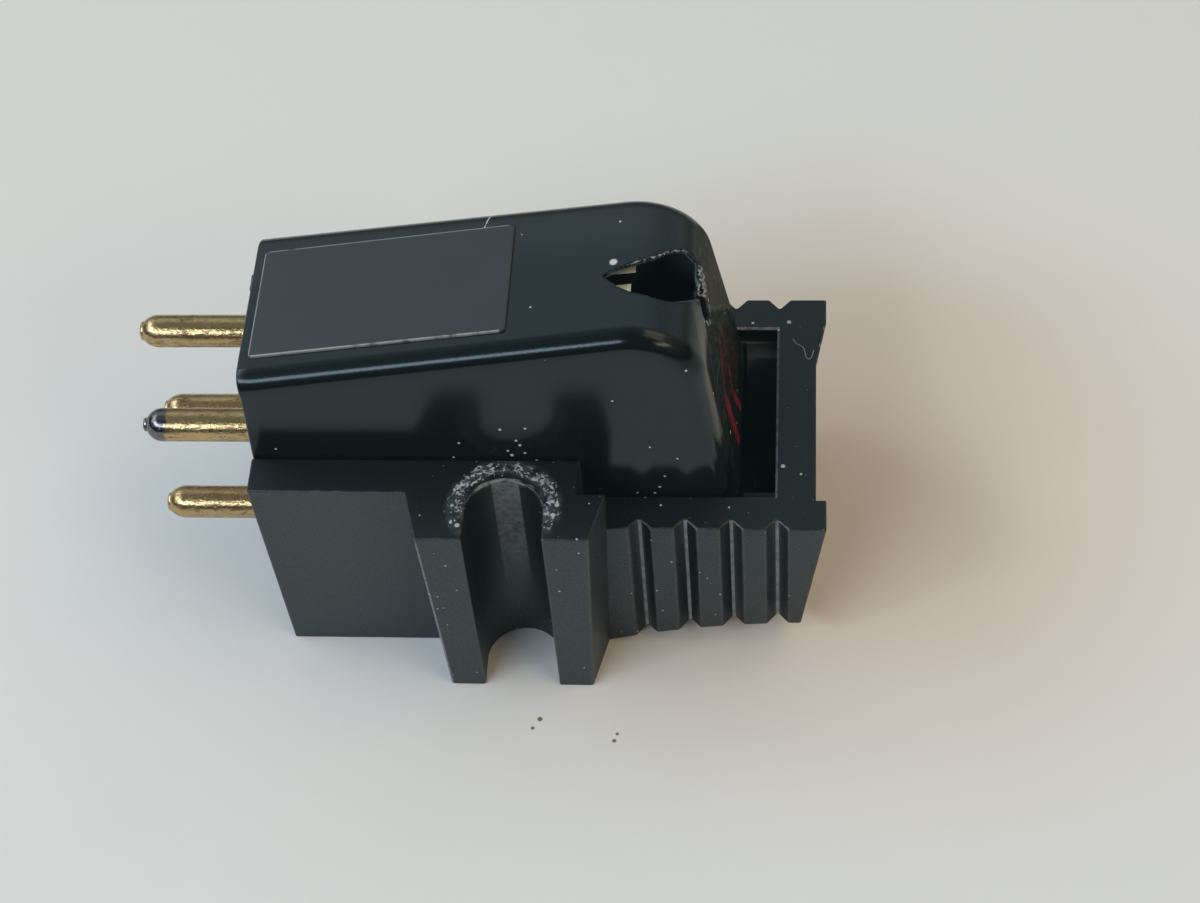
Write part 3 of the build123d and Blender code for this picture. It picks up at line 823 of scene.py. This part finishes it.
# Mounting bracket.
# Matte black moulding with an open notch in each ear for the two screws, finger grips and a well in front.
# It clips round the body from below; the screw heads have bruised it white round the notches.
def bevelled_copy(name, width):
    """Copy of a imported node, merged and freed of its flat seams, with its outward edges rounded by a narrow bevel.
    Edges shorter than the bevel stay sharp, as it would run past their ends."""
    work = bmesh.new()
    work.from_mesh(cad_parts[name].data)
    bmesh.ops.remove_doubles(work, verts=work.verts, dist=0.001 * mm)
    bmesh.ops.dissolve_limit(work, angle_limit=radians(1), verts=work.verts, edges=work.edges)
    weight = work.edges.layers.float.new("bevel_weight_edge")
    for edge in work.edges:
        outward = edge.is_manifold and edge.is_convex and edge.calc_face_angle() > radians(25)
        edge[weight] = float(outward and edge.calc_length() > 0.6 * width)
    mesh = bpy.data.meshes.new(name + "_moulding")
    work.to_mesh(mesh)
    work.free()
    mesh.shade_smooth()
    mesh.set_sharp_from_angle(angle=radians(30))
    piece = bpy.data.objects.new(name + "_moulding", mesh)
    bpy.context.scene.collection.objects.link(piece)
    bevel = piece.modifiers.new("rounded_edges", "BEVEL")
    bevel.width = width
    bevel.segments = 3
    bevel.use_clamp_overlap = False
    bevel.limit_method = "WEIGHT"
    bevel.harden_normals = True
    bevel.material = 1
    return piece


bracket = bevelled_copy("mounting_bracket", 0.08 * mm)

# Places on the bracket for its finish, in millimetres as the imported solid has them.
screw_y = 6.35
notch_radius = 1.41
notch_end = screw_y - notch_radius
head_shift = 0.28
thread_pitch = 0.4
ear_rear = -3.1
ear_top = 9.56
rail_top = 7.43
grip_rear = 4.2
grip_front = 10.4
bracket_side = 5.45
grip_floor = bracket_side - 0.42
well_rear = 6.9
well_floor = 2.0
pocket_side = 3.97
pocket_front = 9.58
shelf_side = 3.17
shelf_top = 6.62
rail_specks = (
    (9.85, -2.58, 0.10), (10.51, -2.94, 0.06), (10.02, 4.31, 0.10), (8.64, 4.26, 0.07), (2.72, -4.0, 0.10),
    (2.94, -4.06, 0.08), (3.17, -4.14, 0.09), (4.85, -4.03, 0.05), (5.44, -4.39, 0.06), (9.6, 3.92, 0.08),
)
ear_specks = ((1.9, -5.97, 0.10), (1.78, -6.41, 0.11), (-1.59, -6.88, 0.11))


def matte_finish(name, worn):
    """Matte black moulding: fine grain, cloudy tone, dust specks, the white bruise that a screw head left round the
    notch, and the strip that its thread rubbed, which is also painted light; painted highlights on the groove floors
    and along the shelf's edge, and painted light on the shelf and in the well. The worn kind, for the edges, is
    smoother and rubbed lighter, with pale lines that are partly wear and partly painted highlights."""
    matte = Finish(name, Specular_Tint=(0.80, 0.97, 1.06, 1))
    x, y, z, noise, patches, blend = matte.x, matte.y, matte.z, matte.noise, matte.patches, matte.blend
    band, within, every, either = matte.band, matte.within, matte.every, matte.either
    plus, minus, maths = matte.plus, matte.minus, matte.maths
    grain = noise(0.06, 3)
    to_front, _, to_top = matte.facing()
    out = maths("ABSOLUTE", y)
    handled = band(x, ear_rear - 0.2, ear_rear + 0.2)
    specks = either(
        every(matte.specks(0.5, 0.04, 0.30, shift=(200, 400, 100)), handled),
        every(matte.specks(0.22, 0.022, 0.30, shift=(700, 300, 500)), handled, 0.35),
        every(
            matte.specks(0.3, 0.035, 0.30, shift=(300, 500, 200)), within(x, 0.7, 1.5, 0.1),
            within(z, 4.5, 9.4, 0.3), band(y, -4.8, -5.0),
        ),
        every(matte.specks(1.6, 0.06, 0.20, shift=(100, 200, 600)), handled),
        matte.spots(*[(x, y, rail_top, radius) for x, y, radius in rail_specks]),
        matte.spots(*[(x, y, ear_top, radius) for x, y, radius in ear_specks]),
    )

    # Bruise: flakes, clumped and patchy, on a ring where the screw's head was pressed, a chafed line at the notch.
    beyond = minus(out, screw_y)
    pressed = plus(beyond, head_shift)
    ring_radius = matte.across(x, pressed)
    arc = every(maths("ARCTAN2", pressed, x), 1.3)
    polar = matte.add("CombineXYZ", {0: arc, 1: ring_radius, 2: every(out, 0.2)}).outputs[0]
    top = band(z, ear_top - 0.21, ear_top - 0.06)
    inward = band(beyond, 0.6, -1.0)
    density = every(within(ring_radius, 1.62, 1.88, 0.34), blend(inward, 0.72, 1.0), top)
    clumps = plus(
        every(noise(0.45, 2, shift=(400, 200, 0)), 0.40),
        every(noise(1.0, 2, shift=(100, 600, 0)), 0.35),
    )
    flakes = plus(plus(noise(0.10, 5, place=polar), every(density, 0.26)), clumps)
    bruise = every(band(flakes, 1.125, 1.20), band(density, 0.05, 0.3))
    chafe = every(
        within(matte.across(x, beyond), notch_radius + 0.03, notch_radius + 0.11, 0.05), top, inward,
        patches(0.16, 4, 0.40, 0.62, stretch=(3, 1, 1), place=polar),
    )
    film = every(density, patches(0.35, 4, 0.35, 0.65), 0.12)
    pale = patches(0.2, 2, 0.35, 0.6)

    # Inside of the notch and the pitted strip that the screw's thread rubbed in it; the strip's pale grey is partly
    # painted light, the lit band at the back of the bore.
    notch = every(
        band(maths("ABSOLUTE", x), notch_radius + 0.04, notch_radius + 0.01),
        band(out, notch_end - 0.14, notch_end - 0.06), band(z, ear_top - 0.04, ear_top - 0.10),
    )
    thread_wear_and_light = every(
        notch, within(x, -0.50, 0.42, 0.06), blend(patches(0.22, 4, 0.36, 0.6), 0.55, 1.0),
        band(z, 2.5, 6.0), patches(0.10, 2, 0.72, 0.66, shift=(200, 0, 400)),
    )

    # Places in the grips and the pocket: the floors of the grip grooves, painted pale as a highlight; the walls of
    # the pocket; its shelf, painted lighter as if lit, with a painted highlight along its outer edge; and the well in
    # front of the body, painted light grey where little light reaches.
    groove_painted_highlight = every(
        within(out, grip_floor - 0.01, grip_floor + 0.015, 0.012),
        within(x, grip_rear, grip_front, 0.2), band(z, rail_top - 0.03, rail_top - 0.09),
        blend(patches(0.5, 3, 0.35, 0.6), 0.55, 1.0),
    )
    gripped = band(x, grip_rear, grip_rear + 0.2)
    before_body = band(x, well_rear, well_rear + 0.3)
    pocket_wall = every(
        within(y, pocket_side - 0.11, pocket_side + 0.08, 0.02),
        within(z, shelf_top + 0.06, rail_top - 0.07, 0.03), before_body,
    )
    shelf = every(
        within(y, shelf_side + 0.03, pocket_side + 0.03, 0.03),
        within(z, shelf_top - 0.12, shelf_top + 0.04, 0.03), before_body,
    )
    well_painted_light = every(
        within(x, well_rear, pocket_front + 0.04, 0.02),
        band(out, pocket_side + 0.05, pocket_side + 0.03),
        band(z, shelf_top, shelf_top - 0.12), band(z, well_floor + 0.02, well_floor + 0.4),
    )

    colour = matte.mix(noise(1.5, 3), (0.0012, 0.0033, 0.0038, 1), (0.0022, 0.0047, 0.0053, 1))
    rough = blend(grain, 0.34 if worn else 0.42, 0.44 if worn else 0.52)
    if worn:
        ahead = band(x, well_rear + 0.3, well_rear + 0.6)
        pocket = either(
            every(within(y, pocket_side - 0.04, pocket_side + 0.08, 0.02), ahead),
            every(
                within(x, pocket_front - 0.04, pocket_front + 0.08, 0.02),
                band(out, pocket_side + 0.13, pocket_side + 0.03), 0.5,
            ),
            every(within(y, shelf_side - 0.07, shelf_side + 0.07, 0.02), ahead),
        )
        pocket = every(
            pocket, band(z, shelf_top - 0.22, shelf_top - 0.12),
            band(out, pocket_side + 0.33, pocket_side + 0.23),
        )
        ear_edge = every(
            within(x, ear_rear - 0.4, ear_rear + 0.6, 0.05),
            band(out, bracket_side - 0.15, bracket_side + 0.15), band(z, ear_top - 0.11, ear_top - 0.36),
        )
        grip_edge = every(
            band(z, rail_top - 0.15, rail_top - 0.07), band(out, grip_floor - 0.05, grip_floor),
            gripped, band(to_front, -0.15, -0.3), 0.6,
        )
        # Pale lines on the pocket rims, the ear's rear edge and the grip edges: partly rubbed wear, partly painted
        # highlights where those edges catch the light.
        edge_wear_and_highlight = every(
            either(pocket, ear_edge, grip_edge), blend(patches(0.3, 3, 0.35, 0.6), 0.35, 1.0),
        )
        rubbed = patches(0.4, 4, 0.46, 0.66)
        colour = matte.layers(colour, (rubbed, (0.014, 0.018, 0.019, 1)), (edge_wear_and_highlight, (0.16, 0.175, 0.18, 1)))
    matte.wear(Base_Color=matte.layers(
        colour,
        # Painted light: the well's walls, a painted highlight on the groove floors, and the shelf painted lighter
        # with a painted highlight along its outer edge.
        (well_painted_light, (0.14, 0.17, 0.17, 1)),
        (groove_painted_highlight, (0.24, 0.255, 0.26, 1)),
        (shelf, (0.006, 0.0075, 0.008, 1)),
        (every(shelf, band(y, pocket_side - 0.09, pocket_side - 0.06)), (0.10, 0.11, 0.11, 1)),
        # The thread's strip: rubbed wear, and painted light for the lit band in the bore.
        (thread_wear_and_light, (0.125, 0.128, 0.122, 1)),
        (film, (0.40, 0.47, 0.50, 1)),
        (chafe, (0.20, 0.22, 0.22, 1)),
        (bruise, matte.mix(pale, (0.13, 0.165, 0.18, 1), (0.44, 0.51, 0.54, 1))),
        (specks, (0.47, 0.48, 0.47, 1)),
    ))
    matte.wear(Roughness=blend(thread_wear_and_light, rough, 0.62))

    # Sheen: grainy on upright faces, weaker on level ones, in the grips' flanks and deep in the notch.
    upward = every(band(to_top, 0.6, 0.9), blend(shelf, 1.0, 0.7))
    sheen = blend(upward, blend(noise(0.08, 4), 0.36, 1.38), 0.51)
    grip_flank = every(
        band(maths("ABSOLUTE", to_front), 0.4, 0.6), gripped, band(out, 4.8, 5.0),
    )
    sheen = blend(either(grip_flank, pocket_wall), sheen, 0.25)
    shaded = every(notch, band(z, 2.5, 6.5))
    matte.wear(Specular_IOR_Level=blend(shaded, sheen, blend(thread_wear_and_light, 0.38, 0.75)))
    thread = maths("SINE", every(z, 2 * pi / thread_pitch))
    matte.bump(grain, 0.014)
    matte.bump(every(thread, thread_wear_and_light), 0.008)
    matte.bump(either(bruise, specks), 0.02)
    return matte


matte = matte_finish("matte_black_moulding", False)
matte_edge = matte_finish("matte_black_moulding_edge", True)
fix(bracket, matte)
bracket.data.materials.append(matte_edge.material)
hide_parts("mounting_bracket")

lint_radius = 0.015
lint_corners = [
    (10.17, 3.47), (10.29, 3.22), (10.56, 3.08), (10.63, 2.83), (10.67, 2.54), (10.78, 2.44), (10.90, 2.59),
    (10.97, 2.93),
]


def thread_path(corners):
    """Smooth path from a few corners: every leg is cut at a quarter and at three quarters, twice over."""
    path = np.array(corners)
    for _ in range(2):
        quarter = 0.75 * path[:-1] + 0.25 * path[1:]
        beyond = 0.25 * path[:-1] + 0.75 * path[1:]
        path = np.concatenate([path[:1], np.stack([quarter, beyond], 1).reshape(-1, 3), path[-1:]])
    return path


def lint():
    """Curled fibre on the rail: a round tube of eight points about the path, drawn to a point at both ends."""
    path = thread_path([(x, y, rail_top + lint_radius) for x, y in lint_corners]) * mm
    along = np.gradient(path, axis=0)
    aside = np.stack([-along[:, 1], along[:, 0], np.zeros(len(path))], -1)
    aside = aside / np.linalg.norm(aside, axis=1, keepdims=True)
    thick = np.full(len(path), lint_radius * mm)
    thick[[0, -1]] = 0
    turn = np.linspace(0, 2 * pi, 8, endpoint=False)[None, :, None]
    ring = aside[:, None] * np.cos(turn) + np.array([0, 0, 1]) * np.sin(turn)
    return tube("lint_fibre", path[:, None] + thick[:, None, None] * ring, 80)


fluff = Finish("pale_lint", Roughness=0.8)
fluff.wear(Base_Color=fluff.mix(fluff.noise(0.2, 3), (0.26, 0.28, 0.28, 1), (0.42, 0.44, 0.44, 1)))
fix(lint(), fluff)

# Stage.
# Pale paper under the part, two cool windows at the front and the left, a warm lamp and a warm ceiling at the right.
# The camera stands where the photograph was taken.
paper_half = 1.5
paper_mesh = bpy.data.meshes.new("paper")
paper_corners = paper_half * np.array([(-1, -1, 0), (1, -1, 0), (1, 1, 0), (-1, 1, 0)])
paper_mesh.from_pydata(paper_corners.tolist(), [], [(0, 1, 2, 3)])
paper_floor = bpy.data.objects.new("paper", paper_mesh)
bpy.context.scene.collection.objects.link(paper_floor)
paper = Finish("pale_paper", Roughness=0.75, Specular_IOR_Level=0.2)
paper_dirt = paper.spots((0.75, -9.0, 0, 0.12), (0.5, -9.4, 0, 0.09), (3.6, -9.9, 0, 0.10), (3.7, -9.6, 0, 0.08))
paper.wear(Base_Color=paper.layers(
    paper.mix(paper.noise(9, 3), (0.755, 0.775, 0.78, 1), (0.795, 0.81, 0.815, 1)),
    # Painted light: a change of tone towards the far side, standing in for the light falling unevenly across the
    # paper.
    (paper.band(paper.y, -14, 22), (0.77, 0.785, 0.77, 1)),
    # Painted light: a warm cast right of the part, standing in for warm bounce light in its shadow.
    (paper.band(paper.away((15, 3, 0)), 20, 6), (0.78, 0.71, 0.65, 1)),
    (paper_dirt, (0.20, 0.16, 0.12, 1)),
))
paper.bump(paper.noise(1.6, 4), 0.03)
paper_mesh.materials.append(paper.material)


def lamp(name, azimuth, elevation, distance, size, power, colour):
    """Soft rectangular light at an azimuth and elevation in degrees, turned to the part."""
    light = bpy.data.lights.new(name, "AREA")
    light.shape = "RECTANGLE"
    light.size, light.size_y = size
    light.energy = power
    light.color = colour
    piece = bpy.data.objects.new(name, light)
    bpy.context.scene.collection.objects.link(piece)
    a, e = radians(azimuth), radians(elevation)
    piece.location = Vector((cos(e) * cos(a), cos(e) * sin(a), sin(e))) * distance
    piece.rotation_euler = piece.location.to_track_quat("Z", "Y").to_euler()
    piece.visible_camera = False


daylight = (0.87, 0.965, 1.08)
lamp("front_window", -131, 42, 0.40, (0.28, 0.075), 0.58, daylight)
lamp("side_window", 178, 42, 0.40, (0.39, 0.16), 0.475, daylight)
lamp("warm_lamp", -40, 37, 0.40, (0.16, 0.06), 0.17, (1.0, 0.78, 0.50))
lamp("warm_ceiling", -4, 60, 0.45, (0.30, 0.20), 0.32, (1.0, 0.76, 0.50))

# Room: brighter upwards, to both sides and low on the far wall, dim where the viewer stands, warm on the right.
world = bpy.data.worlds.new("room")
world.use_nodes = True
bpy.context.scene.world = world
room = Graph(world.node_tree)
to_viewer = (0.103, -0.579, 0.809)
look = room.add("TexCoord", {}).outputs["Generated"]
look_x, look_y, look_z = room.add("SeparateXYZ", {"Vector": look}).outputs
right = room.ramp(look_x, 0.0, 0.6)
all_round = room.plus(room.every(right, 0.36), room.plus(room.ramp(look_x, 0.05, -0.45, 0.0, 0.16), 0.14))
toward = room.add("VectorMath", {0: look, 1: to_viewer}, operation="DOT_PRODUCT").outputs["Value"]
near_glow = room.every(room.ramp(look_z, 0.1, 0.62), all_round, room.ramp(toward, 0.84, 0.94, 1.0, 0.25))
far = room.ramp(look_y, 0.36, 0.54)
far_glow = room.every(room.ramp(look_z, -0.02, 0.22, 0.0, 0.67), room.ramp(look_y, 0.68, 0.92, 1.0, 0.30))
warm = room.either(room.every(room.minus(1.0, far), right), room.ramp(look_x, 0.65, 0.85))
background = world.node_tree.nodes["Background"].inputs
room.feed(background["Color"], room.mix(warm, (0.88, 1.0, 1.03, 1), (1.22, 1.0, 0.70, 1)))
room.feed(background["Strength"], room.blend(far, near_glow, far_glow))

camera_data = bpy.data.cameras.new("camera")
camera_data.lens = 77.07
camera_data.sensor_width = 36
camera_data.sensor_fit = "HORIZONTAL"
camera_data.clip_start = 0.002
camera_data.clip_end = 20
camera = bpy.data.objects.new("camera", camera_data)
bpy.context.scene.collection.objects.link(camera)
camera.location = Vector((10.535, -59.281, 82.842)) * mm
camera.rotation_euler = Euler((radians(37.339), radians(3.377), radians(2.982)))
bpy.context.scene.camera = camera

# Faint bluish veil of the lens, which keeps the darkest places from going black.
display = bpy.context.scene.view_settings
display.view_transform = "Standard"
display.use_curve_mapping = True
display.curve_mapping.black_level = (-0.0025, -0.0043, -0.0047)
display.curve_mapping.update()
